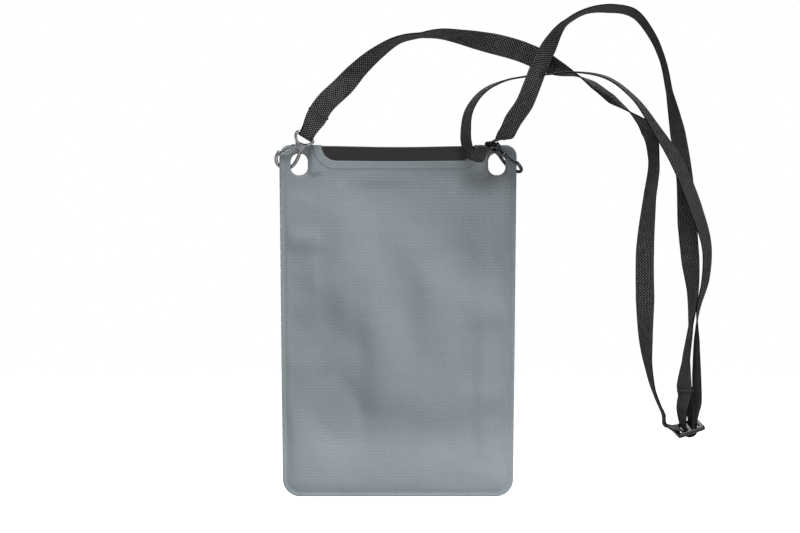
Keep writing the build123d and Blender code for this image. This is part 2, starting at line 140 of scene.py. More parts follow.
# ---------------------------------------------------------------- materials
class Nodes:
    """Small helper that builds a material's node tree."""

    def __init__(self, name):
        self.material = bpy.data.materials.new(name)
        self.material.use_nodes = True
        self.tree = self.material.node_tree
        self.tree.nodes.clear()
        self.out = self.tree.nodes.new("ShaderNodeOutputMaterial")
        self.shader = self.tree.nodes.new("ShaderNodeBsdfPrincipled")
        self.link(self.shader.outputs[0], self.out.inputs["Surface"])

    def link(self, a, b):
        self.tree.links.new(a, b)

    def put(self, socket, value):
        if hasattr(value, "is_output") or isinstance(value, bpy.types.NodeSocket):
            self.link(value, socket)
        else:
            socket.default_value = value

    def math(self, operation, a, b=0.0, c=0.0, clamp=False):
        node = self.tree.nodes.new("ShaderNodeMath")
        node.operation = operation
        node.use_clamp = clamp
        self.put(node.inputs[0], a)
        self.put(node.inputs[1], b)
        self.put(node.inputs[2], c)
        return node.outputs[0]

    def place(self):
        node = self.tree.nodes.new("ShaderNodeTexCoord")
        return node.outputs["Object"]

    def split(self, vector):
        node = self.tree.nodes.new("ShaderNodeSeparateXYZ")
        self.put(node.inputs[0], vector)
        return node.outputs

    def scaled(self, vector, scale):
        node = self.tree.nodes.new("ShaderNodeVectorMath")
        node.operation = "MULTIPLY"
        self.put(node.inputs[0], vector)
        node.inputs[1].default_value = scale
        return node.outputs[0]

    def noise(self, vector, scale, detail=2.0, rough=0.5):
        node = self.tree.nodes.new("ShaderNodeTexNoise")
        self.put(node.inputs["Vector"], vector)
        node.inputs["Scale"].default_value = scale
        node.inputs["Detail"].default_value = detail
        node.inputs["Roughness"].default_value = rough
        return node.outputs[0]

    def attribute(self, name):
        node = self.tree.nodes.new("ShaderNodeAttribute")
        node.attribute_name = name
        return node.outputs["Fac"]

    def mix(self, factor, a, b):
        node = self.tree.nodes.new("ShaderNodeMix")
        node.data_type = "RGBA"
        self.put(node.inputs[0], factor)
        self.put(node.inputs[6], a if not isinstance(a, tuple) else (*a, 1.0))
        self.put(node.inputs[7], b if not isinstance(b, tuple) else (*b, 1.0))
        return node.outputs[2]

    def multiply(self, colour, value):
        node = self.tree.nodes.new("ShaderNodeVectorMath")
        node.operation = "SCALE"
        self.put(node.inputs[0], colour)
        self.put(node.inputs["Scale"], value)
        return node.outputs[0]

    def bump(self, height, distance, strength=1.0, normal=None):
        node = self.tree.nodes.new("ShaderNodeBump")
        node.inputs["Strength"].default_value = strength
        node.inputs["Distance"].default_value = distance
        self.put(node.inputs["Height"], height)
        if normal is not None:
            self.put(node.inputs["Normal"], normal)
        return node.outputs[0]

    def set(self, **values):
        names = {
            "colour": "Base Color",
            "rough": "Roughness",
            "metal": "Metallic",
            "normal": "Normal",
            "sheen": "Sheen Weight",
            "sheen_rough": "Sheen Roughness",
            "specular": "Specular IOR Level",
            "coat": "Coat Weight",
            "coat_rough": "Coat Roughness",
        }
        for key, value in values.items():
            if isinstance(value, tuple) and len(value) == 3:
                value = (*value, 1.0)
            self.put(self.shader.inputs[names[key]], value)
        return self.material


def cell_lines(n, coordinate, pitch, width):
    """1 on thin lines repeated every pitch along a coordinate, 0 between them."""
    phase = n.math("FRACT", n.math("DIVIDE", coordinate, pitch))
    distance = n.math("ABSOLUTE", n.math("SUBTRACT", phase, 0.5))
    return n.math("SUBTRACT", 1.0, n.math("DIVIDE", distance, width / pitch), clamp=True)


FABRIC_COLOUR = (0.206, 0.238, 0.258)
RIP_PITCH = 2.3 * MM
YARN_PITCH = 0.42 * MM
RIP_WIDTH = 0.38 * MM
KNURL_PITCH = 1.9 * MM
STEP_OFFSET = 6.4  # mm from the mouth cut-out to the pressed step round it
WELD_LINE = 3.5  # mm from the outline to the pressed line beside the weld


def near_line(n, distance, place, reach):
    """1 where a distance in mm equals place, falling to 0 at reach from it."""
    off = n.math("ABSOLUTE", n.math("SUBTRACT", distance, place))
    return n.math("SUBTRACT", 1.0, n.math("DIVIDE", off, reach), clamp=True)


def wave(n, coordinate, pitch):
    return n.math("SINE", n.math("MULTIPLY", coordinate, 2 * math.pi / pitch))


def coated_fabric():
    n = Nodes("coated_fabric")
    place = n.place()
    sides = n.split(place)
    x, z = sides[0], sides[2]
    plain = n.attribute("plain")
    weld = n.attribute("weld")
    painted_shading = n.attribute("painted_shading")
    cut = n.attribute("cut")
    edge = n.attribute("edge")
    wander = n.math("MULTIPLY", n.noise(place, 60.0, 2.0), 0.5 * MM)
    across = n.math("ADD", x, wander)
    down = n.math("ADD", z, wander)
    broken_x = n.noise(n.scaled(place, (3.0, 1.0, 1.0)), 210.0, 1.0)
    broken_z = n.noise(n.scaled(place, (1.0, 1.0, 3.0)), 230.0, 1.0)
    rip_x = n.math("MULTIPLY", cell_lines(n, across, RIP_PITCH, RIP_WIDTH), broken_x)
    rip_z = n.math("MULTIPLY", cell_lines(n, down, RIP_PITCH, RIP_WIDTH), broken_z)
    rip = n.math("ADD", n.math("MULTIPLY", rip_x, 0.6), n.math("MULTIPLY", rip_z, 1.5))
    yarn = n.math("MULTIPLY", wave(n, across, YARN_PITCH), wave(n, down, YARN_PITCH))
    cloth = n.math("ADD", n.math("SUBTRACT", rip, 0.18), n.math("MULTIPLY", yarn, 0.16))
    woven = n.math("SUBTRACT", 1.0, plain, clamp=True)
    cloth = n.math("MULTIPLY", cloth, woven)
    rising = wave(n, n.math("ADD", x, z), KNURL_PITCH)
    falling = wave(n, n.math("SUBTRACT", x, z), KNURL_PITCH)
    knurl = n.math("MULTIPLY", rising, falling)
    knurl = n.math("MULTIPLY", knurl, weld)
    grain = n.noise(place, 1500.0, 1.0)
    speckle = n.noise(place, 520.0, 1.0)
    cloudy = n.noise(place, 30.0, 3.0)
    step_line = near_line(n, cut, STEP_OFFSET, 0.6)
    weld_line = n.math("MULTIPLY", near_line(n, edge, WELD_LINE, 0.5), n.math("MULTIPLY", woven, 0.3))
    pressed_lines_and_rim_shadow = n.math("MAXIMUM", step_line, weld_line)
    # painted shadow along the edge of the mouth cut-out, where the panel laps over the black lip
    rim_shadow_line = n.math("SUBTRACT", 1.0, n.math("DIVIDE", cut, 0.9), clamp=True)
    pressed_lines_and_rim_shadow = n.math("MAXIMUM", pressed_lines_and_rim_shadow, n.math("MULTIPLY", rim_shadow_line, 1.6))
    light = n.math("ADD", 0.90, n.math("MULTIPLY", cloudy, 0.20))
    # painted shade and light, read from a vertex attribute, scale the coating's colour
    light = n.math("MULTIPLY", light, painted_shading)
    light = n.math("ADD", light, n.math("MULTIPLY", cloth, 0.17))
    light = n.math("ADD", light, n.math("MULTIPLY", knurl, 0.13))
    light = n.math("ADD", light, n.math("MULTIPLY", n.math("SUBTRACT", grain, 0.5), 0.10))
    light = n.math("ADD", light, n.math("MULTIPLY", n.math("SUBTRACT", speckle, 0.5), 0.16))
    # darkens the colour along the pressed lines and paints the shadow line at the cut-out's rim
    light = n.math("MULTIPLY", light, n.math("SUBTRACT", 1.0, n.math("MULTIPLY", pressed_lines_and_rim_shadow, 0.38)))
    colour = n.multiply(FABRIC_COLOUR, light)
    height = n.math("ADD", cloth, n.math("MULTIPLY", knurl, 1.5))
    height = n.math("ADD", height, n.math("MULTIPLY", grain, 0.2))
    height = n.math("SUBTRACT", height, n.math("MULTIPLY", pressed_lines_and_rim_shadow, 2.5))
    normal = n.bump(height, 0.07 * MM, 0.9)
    return n.set(colour=colour, rough=0.56, specular=0.35, sheen=0.05, normal=normal)


def seal_rubber():
    n = Nodes("seal_rubber")
    place = n.place()
    grain = n.noise(place, 900.0, 3.0)
    cloudy = n.noise(n.scaled(place, (1.0, 1.0, 3.0)), 40.0, 2.0)
    colour = n.mix(cloudy, (0.005, 0.0048, 0.0048), (0.012, 0.0113, 0.0113))
    rough = n.math("ADD", 0.42, n.math("MULTIPLY", grain, 0.15))
    return n.set(colour=colour, rough=rough, specular=0.45, normal=n.bump(grain, 0.03 * MM, 0.6))


THREAD_PITCH = 1.9 * MM
THREAD_ACROSS = 1.25 * MM


def webbing():
    n = Nodes("webbing")
    along = n.attribute("along")
    across = n.attribute("across")
    row = n.math("DIVIDE", across, THREAD_ACROSS)
    odd = n.math("MULTIPLY", n.math("FLOORED_MODULO", n.math("FLOOR", row), 2.0), 0.5)
    u = n.math("FRACT", n.math("ADD", n.math("DIVIDE", along, THREAD_PITCH), odd))
    v = n.math("FRACT", row)
    knuckle = n.math("MULTIPLY", wave(n, u, 2.0), wave(n, v, 2.0))
    fibre = n.noise(n.place(), 4000.0, 2.0)
    blotch = n.noise(n.place(), 220.0, 2.0)
    # random patches where the painted knuckle highlights are stronger or weaker
    patchy_glint = n.math("ADD", 0.45, n.math("MULTIPLY", blotch, 1.1))
    fuzz = n.math("MULTIPLY", n.math("SUBTRACT", fibre, 0.56), 0.22)
    knuckle_glint_and_fuzz = n.math("MULTIPLY", n.math("POWER", knuckle, 2.6), patchy_glint)
    knuckle_glint_and_fuzz = n.math("ADD", knuckle_glint_and_fuzz, fuzz, clamp=True)
    # painted highlight: the pale end of this mix stands for the glint of shiny nylon on each knuckle of
    # near-black webbing
    colour = n.mix(knuckle_glint_and_fuzz, (0.0012, 0.0012, 0.0013), (0.19, 0.19, 0.192))
    height = n.math("ADD", knuckle, n.math("MULTIPLY", fibre, 0.2))
    normal = n.bump(height, 0.18 * MM, 0.8)
    return n.set(colour=colour, rough=0.6, specular=0.12, normal=normal)


def thread():
    n = Nodes("thread")
    fibre = n.noise(n.place(), 3500.0, 2.0)
    colour = n.mix(fibre, (0.006, 0.006, 0.006), (0.03, 0.03, 0.031))
    return n.set(colour=colour, rough=0.5, sheen=0.2, normal=n.bump(fibre, 0.05 * MM, 0.8))


def slider_plastic():
    n = Nodes("slider_plastic")
    place = n.place()
    grain = n.noise(place, 1200.0, 2.0)
    wear = n.noise(place, 120.0, 3.0)
    colour = n.mix(wear, (0.006, 0.006, 0.006), (0.013, 0.013, 0.014))
    return n.set(
        colour=colour,
        rough=n.math("ADD", 0.12, n.math("MULTIPLY", wear, 0.18)),
        specular=0.5,
        normal=n.bump(grain, 0.015 * MM, 0.5),
    )


def hook_metal(name, dark, light, rough):
    n = Nodes(name)
    place = n.place()
    wear = n.noise(place, 260.0, 3.0)
    grain = n.noise(place, 2200.0, 2.0)
    colour = n.mix(n.math("SUBTRACT", n.math("MULTIPLY", wear, 2.0), 0.5, clamp=True), dark, light)
    return n.set(
        colour=colour,
        metal=1.0,
        rough=n.math("ADD", rough, n.math("MULTIPLY", wear, 0.14)),
        normal=n.bump(n.math("ADD", grain, n.math("MULTIPLY", wear, 0.6)), 0.02 * MM, 0.6),
    )


FABRIC = coated_fabric()
RUBBER = seal_rubber()
WEBBING = webbing()
THREAD = thread()
PLASTIC = slider_plastic()
# the two hooks are the same gunmetal: the left one's paler colours paint the light it catches face-on, the
# right one's darker colours paint the shade it shows edge-on
LIT_HOOK_METAL = hook_metal("hook_metal_painted_lit", (0.15, 0.15, 0.155), (0.50, 0.50, 0.51), 0.15)
SHADED_HOOK_METAL = hook_metal("hook_metal_painted_shaded", (0.03, 0.03, 0.032), (0.10, 0.10, 0.104), 0.18)
PIN_METAL = hook_metal("pin_metal", (0.20, 0.20, 0.21), (0.36, 0.36, 0.37), 0.3)
SPRING_METAL = hook_metal("spring_steel", (0.30, 0.30, 0.31), (0.45, 0.45, 0.46), 0.3)
MAGNET_METAL = hook_metal("magnet_plate", (0.40, 0.40, 0.42), (0.55, 0.55, 0.57), 0.3)


def dress(obj, material, body=None):
    obj.data.materials.clear()
    obj.data.materials.append(material)
    if body:
        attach(obj, body)
    return obj


# ------------------------------------------------------------------- pouch
front_low, front_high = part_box("front_panel")
TOP = front_high.z / MM
BOTTOM = front_low.z / MM
WELD_Y = front_high.y / MM
BELLY = (front_high.y - front_low.y) / MM
HALF_TOP = 84.2
HALF_BOTTOM = 81.5
SKIN = 0.7
EAR_RADIUS = 8.0
FOOT_RADIUS = 12.5
SLOT_X = abs(mounts["left_ear_slot"]["pos_m"][0]) / MM
SLOT_Z = mounts["left_ear_slot"]["pos_m"][2] / MM
SLOT_HALF = (6.1, 7.7)
SLOT_ROUND = 5.7
CUT_HALF = 54.0
CUT_DEPTH = 11.0
CUT_ROUND = 10.5
MOUTH_RISE = 2.5
MOUTH_SAG = 0.8
FLAT_EDGE = 3.2  # width of the flat rim before the panel starts to rise
PILLOW_REACH = 9.0
BELLY_SHARE = 0.85
TAPER_DEPTH, TAPER_REACH = 52, 30.0  # below TOP, where the belly thins out towards the mouth
EAR_DEPTH, EAR_REACH = 44, 22.0  # below TOP, where the flat ears begin
EAR_START, EAR_WIDTH = 50.0, 14.0  # the same, measured out from the middle
LEAST_RISE = SKIN + 0.1
STEP_GROOVE = 0.12
WELD_GROOVE, WELD_GROOVE_AT = 0.10, 3.4
SLOT_RIM, SLOT_RIM_AT = 0.05, 2.2
WELD_TOP = 20  # below TOP, where the side welds end
LIP_HALF = 60.0
HINGE = Vector(joints["mouth_open"]["pos_m"]) / MM


def arc(cx, cz, radius, start, end, count):
    angles = np.radians(np.linspace(start, end, count))
    return [(cx + radius * math.cos(a), cz + radius * math.sin(a)) for a in angles]


def half_width(z):
    return HALF_BOTTOM + (HALF_TOP - HALF_BOTTOM) * (z - BOTTOM) / (TOP - BOTTOM)


def spaced(points, step, closed=True):
    """The same outline with points no further apart than step."""
    out = []
    count = len(points)
    for i in range(count if closed else count - 1):
        a = np.array(points[i])
        b = np.array(points[(i + 1) % count])
        pieces = max(1, math.ceil(np.linalg.norm(b - a) / step))
        out += [tuple(a + (b - a) * k / pieces) for k in range(pieces)]
    if not closed:
        out.append(tuple(points[-1]))
    return out


def pouch_outline(step):
    """Outline of a panel from the left ear round the bottom, with the cut-out at the mouth."""
    ear_x = half_width(TOP - EAR_RADIUS) - EAR_RADIUS
    foot_x = half_width(BOTTOM + FOOT_RADIUS) - FOOT_RADIUS
    sharp = []
    sharp += arc(-ear_x, TOP - EAR_RADIUS, EAR_RADIUS, 90, 180, 10)
    sharp += arc(-foot_x, BOTTOM + FOOT_RADIUS, FOOT_RADIUS, 180, 270, 12)
    sharp += arc(foot_x, BOTTOM + FOOT_RADIUS, FOOT_RADIUS, 270, 360, 12)
    sharp += arc(ear_x, TOP - EAR_RADIUS, EAR_RADIUS, 0, 90, 10)
    inner = CUT_HALF - CUT_ROUND
    sharp.append((CUT_HALF + 0.6, TOP))
    sharp += arc(inner, TOP - CUT_DEPTH + CUT_ROUND, CUT_ROUND, 0, -90, 12)
    sharp += arc(-inner, TOP - CUT_DEPTH + CUT_ROUND, CUT_ROUND, -90, -180, 12)
    sharp.append((-CUT_HALF - 0.6, TOP))
    return spaced(sharp, step)


def slot_outline(side, step):
    inner_x = SLOT_HALF[0] - SLOT_ROUND
    inner_z = SLOT_HALF[1] - SLOT_ROUND
    points = []
    for sx, sz, start in ((1, 1, 0), (-1, 1, 90), (-1, -1, 180), (1, -1, 270)):
        points += arc(side * SLOT_X + sx * inner_x, SLOT_Z + sz * inner_z, SLOT_ROUND, start, start + 90, 7)
    return spaced(points, step)


def cut_distance(x, z):
    """Distance below or outside the mouth cut-out, in mm; 0 on its edge."""
    px = np.abs(x) - (CUT_HALF - CUT_ROUND)
    pz = (TOP - CUT_DEPTH + CUT_ROUND) - z
    return np.where(
        px < 0,
        pz - CUT_ROUND,
        np.where(pz < 0, px - CUT_ROUND, np.hypot(px, pz) - CUT_ROUND),
    )


def slot_distance(x, z):
    dx = np.abs(np.abs(x) - SLOT_X) - (SLOT_HALF[0] - SLOT_ROUND)
    dz = np.abs(z - SLOT_Z) - (SLOT_HALF[1] - SLOT_ROUND)
    return np.hypot(np.maximum(dx, 0), np.maximum(dz, 0)) + np.minimum(np.maximum(dx, dz), 0) - SLOT_ROUND


def edge_distance(x, z):
    """Distance inside the pouch outline, with its rounded corners, in mm."""
    side = half_width(z) - np.abs(x)
    foot = z - BOTTOM
    corner = FOOT_RADIUS - np.hypot(np.maximum(FOOT_RADIUS - side, 0), np.maximum(FOOT_RADIUS - foot, 0))
    top = TOP - z
    ear = EAR_RADIUS - np.hypot(np.maximum(EAR_RADIUS - side, 0), np.maximum(EAR_RADIUS - top, 0))
    near = np.minimum(side, foot)
    near = np.where((side < FOOT_RADIUS) & (foot < FOOT_RADIUS), np.minimum(corner, near), near)
    near = np.where((side < EAR_RADIUS) & (top < EAR_RADIUS), np.minimum(ear, near), near)
    return near


# Soft dents and creases left by handling. Each is a band along a line of (x, z) points in mm with
# its reach to either side and its tilt: a positive tilt turns the panel's face upwards.
TILTS = [
    (
        [(-52, -28), (-40, -42), (-31, -52), (-12, -63), (10, -71), (34, -74), (60, -66), (86, -59)],
        13,
        -0.22,
    ),
    ([(-48, 14), (-42, 2), (-29, -8)], 13, -0.26),
    ([(-86, -1), (-60, 0)], 11, -0.20),
    ([(-86, -46), (-64, -44)], 10, -0.16),
    ([(-30, 73), (-4, 66), (16, 61)], 17, 0.12),
    ([(-15, 42), (-9, 12), (0, -12), (12, -36)], 13, 0.19),
    ([(-86, -24), (-52, -23)], 9, 0.16),
    ([(-86, 63), (-60, 62)], 5.5, 0.22),
    ([(-86, 51), (-58, 52)], 6, -0.19),
    ([(-86, 29), (-64, 28)], 6, -0.14),
    ([(20, 37), (50, 22), (84, 8)], 9, 0.16),
    ([(56, -2), (86, -2)], 8, -0.19),
    ([(46, -45), (82, -44)], 7, 0.17),
    ([(-78, -60), (-58, -78), (-36, -92)], 15, 0.14),
    ([(-24, 99), (20, 85), (60, 60), (86, 36)], 14, -0.13),
    ([(38, 56), (52, 47)], 9, -0.10),
    ([(60, -82), (60, -94)], 6, -0.12),
]
CRUMPLES = ((17.0, 0.30), (7.0, 0.10), (3.1, 0.03))


def band_strength(x, z, points, reach):
    """1 along the line of points, fading to nothing at about twice the reach from it."""
    line = np.array(spaced(points, 4.0, closed=False))
    for _ in range(6):
        line[1:-1] = (line[:-2] + 2 * line[1:-1] + line[2:]) / 4
    best = np.full_like(x, 1e9)
    for (ax, az), (bx, bz) in zip(line, line[1:]):
        dx, dz = bx - ax, bz - az
        t = np.clip(((x - ax) * dx + (z - az) * dz) / (dx * dx + dz * dz), 0, 1)
        best = np.minimum(best, np.hypot(x - ax - t * dx, z - az - t * dz))
    return np.exp(-((best / reach) ** 2))


def slow_part(values, reach):
    """The values averaged over a wide window, three times over, with their edges repeated."""
    for axis in (0, 1, 0, 1, 0, 1):
        padding = [(0, 0), (0, 0)]
        padding[axis] = (reach + 1, reach)
        total = np.cumsum(np.pad(values, padding, mode="edge"), axis=axis)
        count = values.shape[axis]
        ahead = np.take(total, np.arange(2 * reach + 1, 2 * reach + 1 + count), axis)
        behind = np.take(total, np.arange(count), axis)
        values = (ahead - behind) / (2 * reach + 1)
    return values


def fold_height(x, z):
    """Height in mm that the dents and creases add to a panel at (x, z)."""
    cell = 1.0
    xs = np.arange(-HALF_TOP - 2, HALF_TOP + 2, cell)
    zs = np.arange(BOTTOM, TOP + cell, cell)
    grid_x, grid_z = np.meshgrid(xs, zs)
    tilt = np.zeros_like(grid_x)
    for points, reach, amount in TILTS:
        tilt += amount * band_strength(grid_x, grid_z, points, reach)
    tilt -= tilt.mean(0)
    height = -np.cumsum(tilt, axis=0) * cell
    height -= slow_part(height, 26)
    fx = np.clip((x - xs[0]) / cell, 0, len(xs) - 1.001)
    fz = np.clip((z - zs[0]) / cell, 0, len(zs) - 1.001)
    ix, iz = fx.astype(int), fz.astype(int)
    tx, tz = fx - ix, fz - iz
    low = height[iz, ix] * (1 - tx) + height[iz, ix + 1] * tx
    high = height[iz + 1, ix] * (1 - tx) + height[iz + 1, ix + 1] * tx
    smooth = low * (1 - tz) + high * tz
    rough = np.zeros_like(x)
    for scale, size in CRUMPLES:
        rough += size * np.array([noise.noise((a / scale, 0.37 * scale, b / scale)) for a, b in zip(x, z)])
    return smooth + rough


def panel_rise(x, z, mirror):
    """Outer surface above the weld plane, in mm."""
    edge = edge_distance(x, z)
    pillow = 1 - np.exp(-np.maximum(edge - FLAT_EDGE, 0) / PILLOW_REACH)
    to_mouth = smoothstep((z - (TOP - TAPER_DEPTH)) / TAPER_REACH)
    target = BELLY_SHARE * BELLY * (1 - to_mouth) + MOUTH_RISE * to_mouth
    ear = smoothstep((z - (TOP - EAR_DEPTH)) / EAR_REACH)
    ear = ear * smoothstep((np.abs(x) - EAR_START) / EAR_WIDTH)
    rise = SKIN + (target - SKIN) * pillow * (1 - ear)
    over_lip = smoothstep((z - (TOP - 24)) / 5.0) * smoothstep((64.5 - np.abs(x)) / 4.5)
    rise = np.maximum(rise, SKIN + (MOUTH_RISE - SKIN) * over_lip)
    calm = smoothstep((edge - 3.4) / 6.0) * smoothstep((TOP - 20 - z) / 12.0)
    rise = rise + fold_height(x * mirror, z) * calm
    softened = LEAST_RISE + np.logaddexp(0, (rise - LEAST_RISE) * 3.0) / 3.0
    return rise + (softened - rise) * np.minimum(1.0, calm * 4.0)


def surface_detail(x, z):
    """Pressed lines and ridges added to the outer face only, in mm."""
    edge = edge_distance(x, z)
    step = cut_distance(x, z) - STEP_OFFSET
    detail = -STEP_GROOVE * smoothstep((step + 0.5) / 1.2) * smoothstep((9.0 - step) / 8.0)
    beside_weld = np.exp(-(((edge - WELD_GROOVE_AT) / 0.9) ** 2))
    detail = detail - WELD_GROOVE * beside_weld * (z < TOP - WELD_TOP)
    beside_slot = np.exp(-(((slot_distance(x, z) - SLOT_RIM_AT) / 1.2) ** 2))
    return detail + SLOT_RIM * beside_slot


def painted_panel_shading(x, z):
    """Painted shade and light in the coating's colour: painted shade towards the upper right, across the top
    band and along the right edge; painted light at the foot; paler along the outline below the top band.
    """
    u = x / HALF_TOP
    v = (z - BOTTOM) / (TOP - BOTTOM)
    upper_right = 0.36 * smoothstep((u + 2.4 * v - 1.75) / 1.5)
    mouth_band = 0.10 * smoothstep((v - 0.84) / 0.08)
    foot = 0.27 * smoothstep((0.28 - v) / 0.17)
    right_edge = 0.07 * smoothstep((u - 0.86) / 0.12)
    rim = 0.12 * np.exp(-((edge_distance(x, z) / 2.2) ** 2)) * smoothstep((0.85 - v) / 0.1)
    return 1.00 - upper_right - mouth_band + foot - right_edge + rim


def mouth_weight(x, z):
    """How far a point of the mouth follows the opening lip: none at the ends, all in the middle."""
    bow = np.cos(np.clip(np.abs(x) / LIP_HALF, 0, 1) * math.pi / 2) ** 1.6
    return bow * smoothstep((z - (HINGE.z - 5.0)) / 9.0)


def flat_mesh(step, edge_step):
    """Triangles of the panel outline, with its slots and an even scatter of inner points."""
    loops = [pouch_outline(edge_step), slot_outline(-1, edge_step), slot_outline(1, edge_step)]
    points, faces = [], []
    for loop in loops:
        first = len(points)
        points += loop
        faces.append(list(range(first, first + len(loop))))
    rows = int((TOP - BOTTOM) / (step * 0.866)) + 1
    xs, zs = [], []
    for r in range(rows):
        z = BOTTOM + r * step * 0.866
        shift = 0.5 * step * (r % 2)
        row = np.arange(-HALF_TOP, HALF_TOP, step) + shift
        xs.append(row)
        zs.append(np.full_like(row, z))
    x, z = np.concatenate(xs), np.concatenate(zs)
    room = 0.55 * step
    keep = (edge_distance(x, z) > room) & (TOP - z > room)
    keep &= (cut_distance(x, z) > room) & (slot_distance(x, z) > room)
    points += list(zip(x[keep], z[keep]))
    edges = []
    for loop in faces:
        edges += [(loop[i], loop[(i + 1) % len(loop)]) for i in range(len(loop))]
    out_points, _, out_faces, _, _, _ = delaunay_2d_cdt([Vector(p) for p in points], edges, [], 0, 1e-5)
    flat = np.array([(p.x, p.y) for p in out_points])
    tris = np.array([f for f in out_faces if len(f) == 3])
    centre = flat[tris].mean(1)
    inside = (
        (edge_distance(centre[:, 0], centre[:, 1]) > 0)
        & (centre[:, 1] < TOP)
        & (cut_distance(centre[:, 0], centre[:, 1]) > 0)
        & (slot_distance(centre[:, 0], centre[:, 1]) > 0)
    )
    return flat, tris[inside]


def border_loops(tris):
    """Directed edges used by one triangle only."""
    seen = {}
    for a, b, c in tris:
        for e in ((a, b), (b, c), (c, a)):
            seen[e] = True
    return [e for e in seen if (e[1], e[0]) not in seen]


def build_panel(name, side, mirror):
    step = 1.25
    flat, tris = flat_mesh(step, step * 0.8)
    x, z = flat[:, 0], flat[:, 1]
    rise = panel_rise(x, z, mirror)
    bow = np.cos(np.clip(x / LIP_HALF, -1, 1) * math.pi / 2) ** 2
    sag = MOUTH_SAG * bow * smoothstep((z - (TOP - 20)) / 18.0)
    count = len(flat)
    outer = np.column_stack([x, WELD_Y + side * (rise + surface_detail(x, z)), z - sag]) * MM
    inner = np.column_stack([x, WELD_Y + side * np.maximum(rise - SKIN, 0.02), z - sag]) * MM
    verts = np.vstack([outer, inner])
    tri = np.array(tris)
    signed = np.cross(
        np.append(flat[tri[0][1]] - flat[tri[0][0]], 0), np.append(flat[tri[0][2]] - flat[tri[0][0]], 0)
    )[2]
    # seen from -Y, +X is to the right and +Z up, so anticlockwise triangles face -Y
    if (signed > 0) != (side < 0):
        tri = tri[:, ::-1]
    walls = []
    for a, b in border_loops(tri):
        walls.append((b, a, a + count))
        walls.append((b, a + count, b + count))
    faces = np.vstack([tri, tri[:, ::-1] + count, np.array(walls)])
    obj = new_object(name, verts, faces)
    both_x, both_z = np.tile(x, 2), np.tile(z, 2)
    step_line = cut_distance(both_x, both_z)
    plain = 1 - smoothstep((step_line - STEP_OFFSET + 0.6) / 0.9)
    ears = smoothstep((6.5 - slot_distance(both_x, both_z)) / 1.5)
    vertex_value(obj, "plain", np.maximum(plain, ears))
    edge = edge_distance(both_x, both_z)
    weld = smoothstep((3.6 - edge) / 0.8) * smoothstep((TOP - 22 - both_z) / 6)
    weld = weld * (0.35 + 0.65 * smoothstep((BOTTOM + 12 - both_z) / 8))
    vertex_value(obj, "weld", weld)
    vertex_value(obj, "cut", step_line)
    vertex_value(obj, "edge", edge)
    # painted shade and light of the panel, stored per vertex
    vertex_value(obj, "painted_shading", painted_panel_shading(both_x * mirror, both_z))
    dress(obj, FABRIC)
    return obj, both_x, both_z


back_cloth, _, _ = build_panel("back_panel_cloth", 1, -1)
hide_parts("back_panel")
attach(back_cloth, "pouch")

front_cloth, front_x, front_z = build_panel("front_panel_cloth", -1, 1)
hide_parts("front_panel")


def bend_mouth(obj, x, z):
    """The middle of the mouth opens with the front lip while its ends stay with the pouch."""
    hinge = HINGE * MM
    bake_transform(obj, "pouch", "mouth_lip", hinge, hinge + Vector((0, 0, 0.009)))
    weights = obj.data.attributes["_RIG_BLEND"]
    weights.data.foreach_set("value", mouth_weight(x, z).astype(np.float32))


def vertex_array(obj):
    flat = np.empty(len(obj.data.vertices) * 3, np.float32)
    obj.data.vertices.foreach_get("co", flat)
    return flat.reshape(-1, 3).astype(float)


bend_mouth(front_cloth, front_x, front_z)


# ------------------------------------------------------------- seal and magnets
def build_lip(name, node):
    """A soft slab with rounded edges whose top edge dips a little in the middle."""
    low, high = (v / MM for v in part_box(node))
    stations = 200
    mid_y, half_y = (low.y + high.y) / 2, (high.y - low.y) / 2
    mid_z, half_z = (low.z + high.z) / 2, (high.z - low.z) / 2
    corner = 0.75
    profile = []
    for sy, sz, start in ((1, 1, 0), (-1, 1, 90), (-1, -1, 180), (1, -1, 270)):
        for a, b in arc(0, 0, corner, start, start + 90, 6):
            profile.append((sy * (half_y - corner) + a, sz * (half_z - corner) + b))
    filled = []
    for i, (a, b) in enumerate(profile):
        c, d = profile[(i + 1) % len(profile)]
        pieces = max(1, round(math.hypot(c - a, d - b) / 1.2))
        filled += [(a + (c - a) * k / pieces, b + (d - b) * k / pieces) for k in range(pieces)]
    verts, faces = [], []
    half_x = (high.x - low.x) / 2
    spots = []
    for k in range(stations):
        x = half_x * (2 * k / (stations - 1) - 1)
        near_end = min(1.0, (half_x - abs(x)) / 1.4)
        shrink = math.sqrt(max(0.0, 1 - (1 - near_end) ** 2))
        shrink = max(shrink, 0.02)
        for py, pz in filled:
            y = mid_y + py * shrink
            z = mid_z + math.copysign(max(0.0, abs(pz) - (1 - shrink) * 1.6), pz)
            lift = smoothstep((z - (TOP - 16)) / 10.0)
            z -= MOUTH_SAG * math.cos(min(1, abs(x) / LIP_HALF) * math.pi / 2) ** 2 * lift
            spots.append((x, y, z))
    ring = len(filled)
    for k in range(stations - 1):
        for i in range(ring):
            a, b = k * ring + i, k * ring + (i + 1) % ring
            faces.append((a, b, b + ring, a + ring))
    faces.append(tuple(reversed(range(ring))))
    faces.append(tuple(range((stations - 1) * ring, stations * ring)))
    spots = np.array(spots)
    obj = new_object(name, spots * MM, faces)
    bm = bmesh.new()
    bm.from_mesh(obj.data)
    bmesh.ops.recalc_face_normals(bm, faces=bm.faces)
    bm.to_mesh(obj.data)
    bm.free()
    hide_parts(node)
    dress(obj, RUBBER)
    return obj, spots


front_lip, lip_spots = build_lip("front_seal_lip", "front_seal_strip")
bend_mouth(front_lip, lip_spots[:, 0], lip_spots[:, 2])
back_lip, _ = build_lip("back_seal_lip", "back_seal_strip")
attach(back_lip, "pouch")


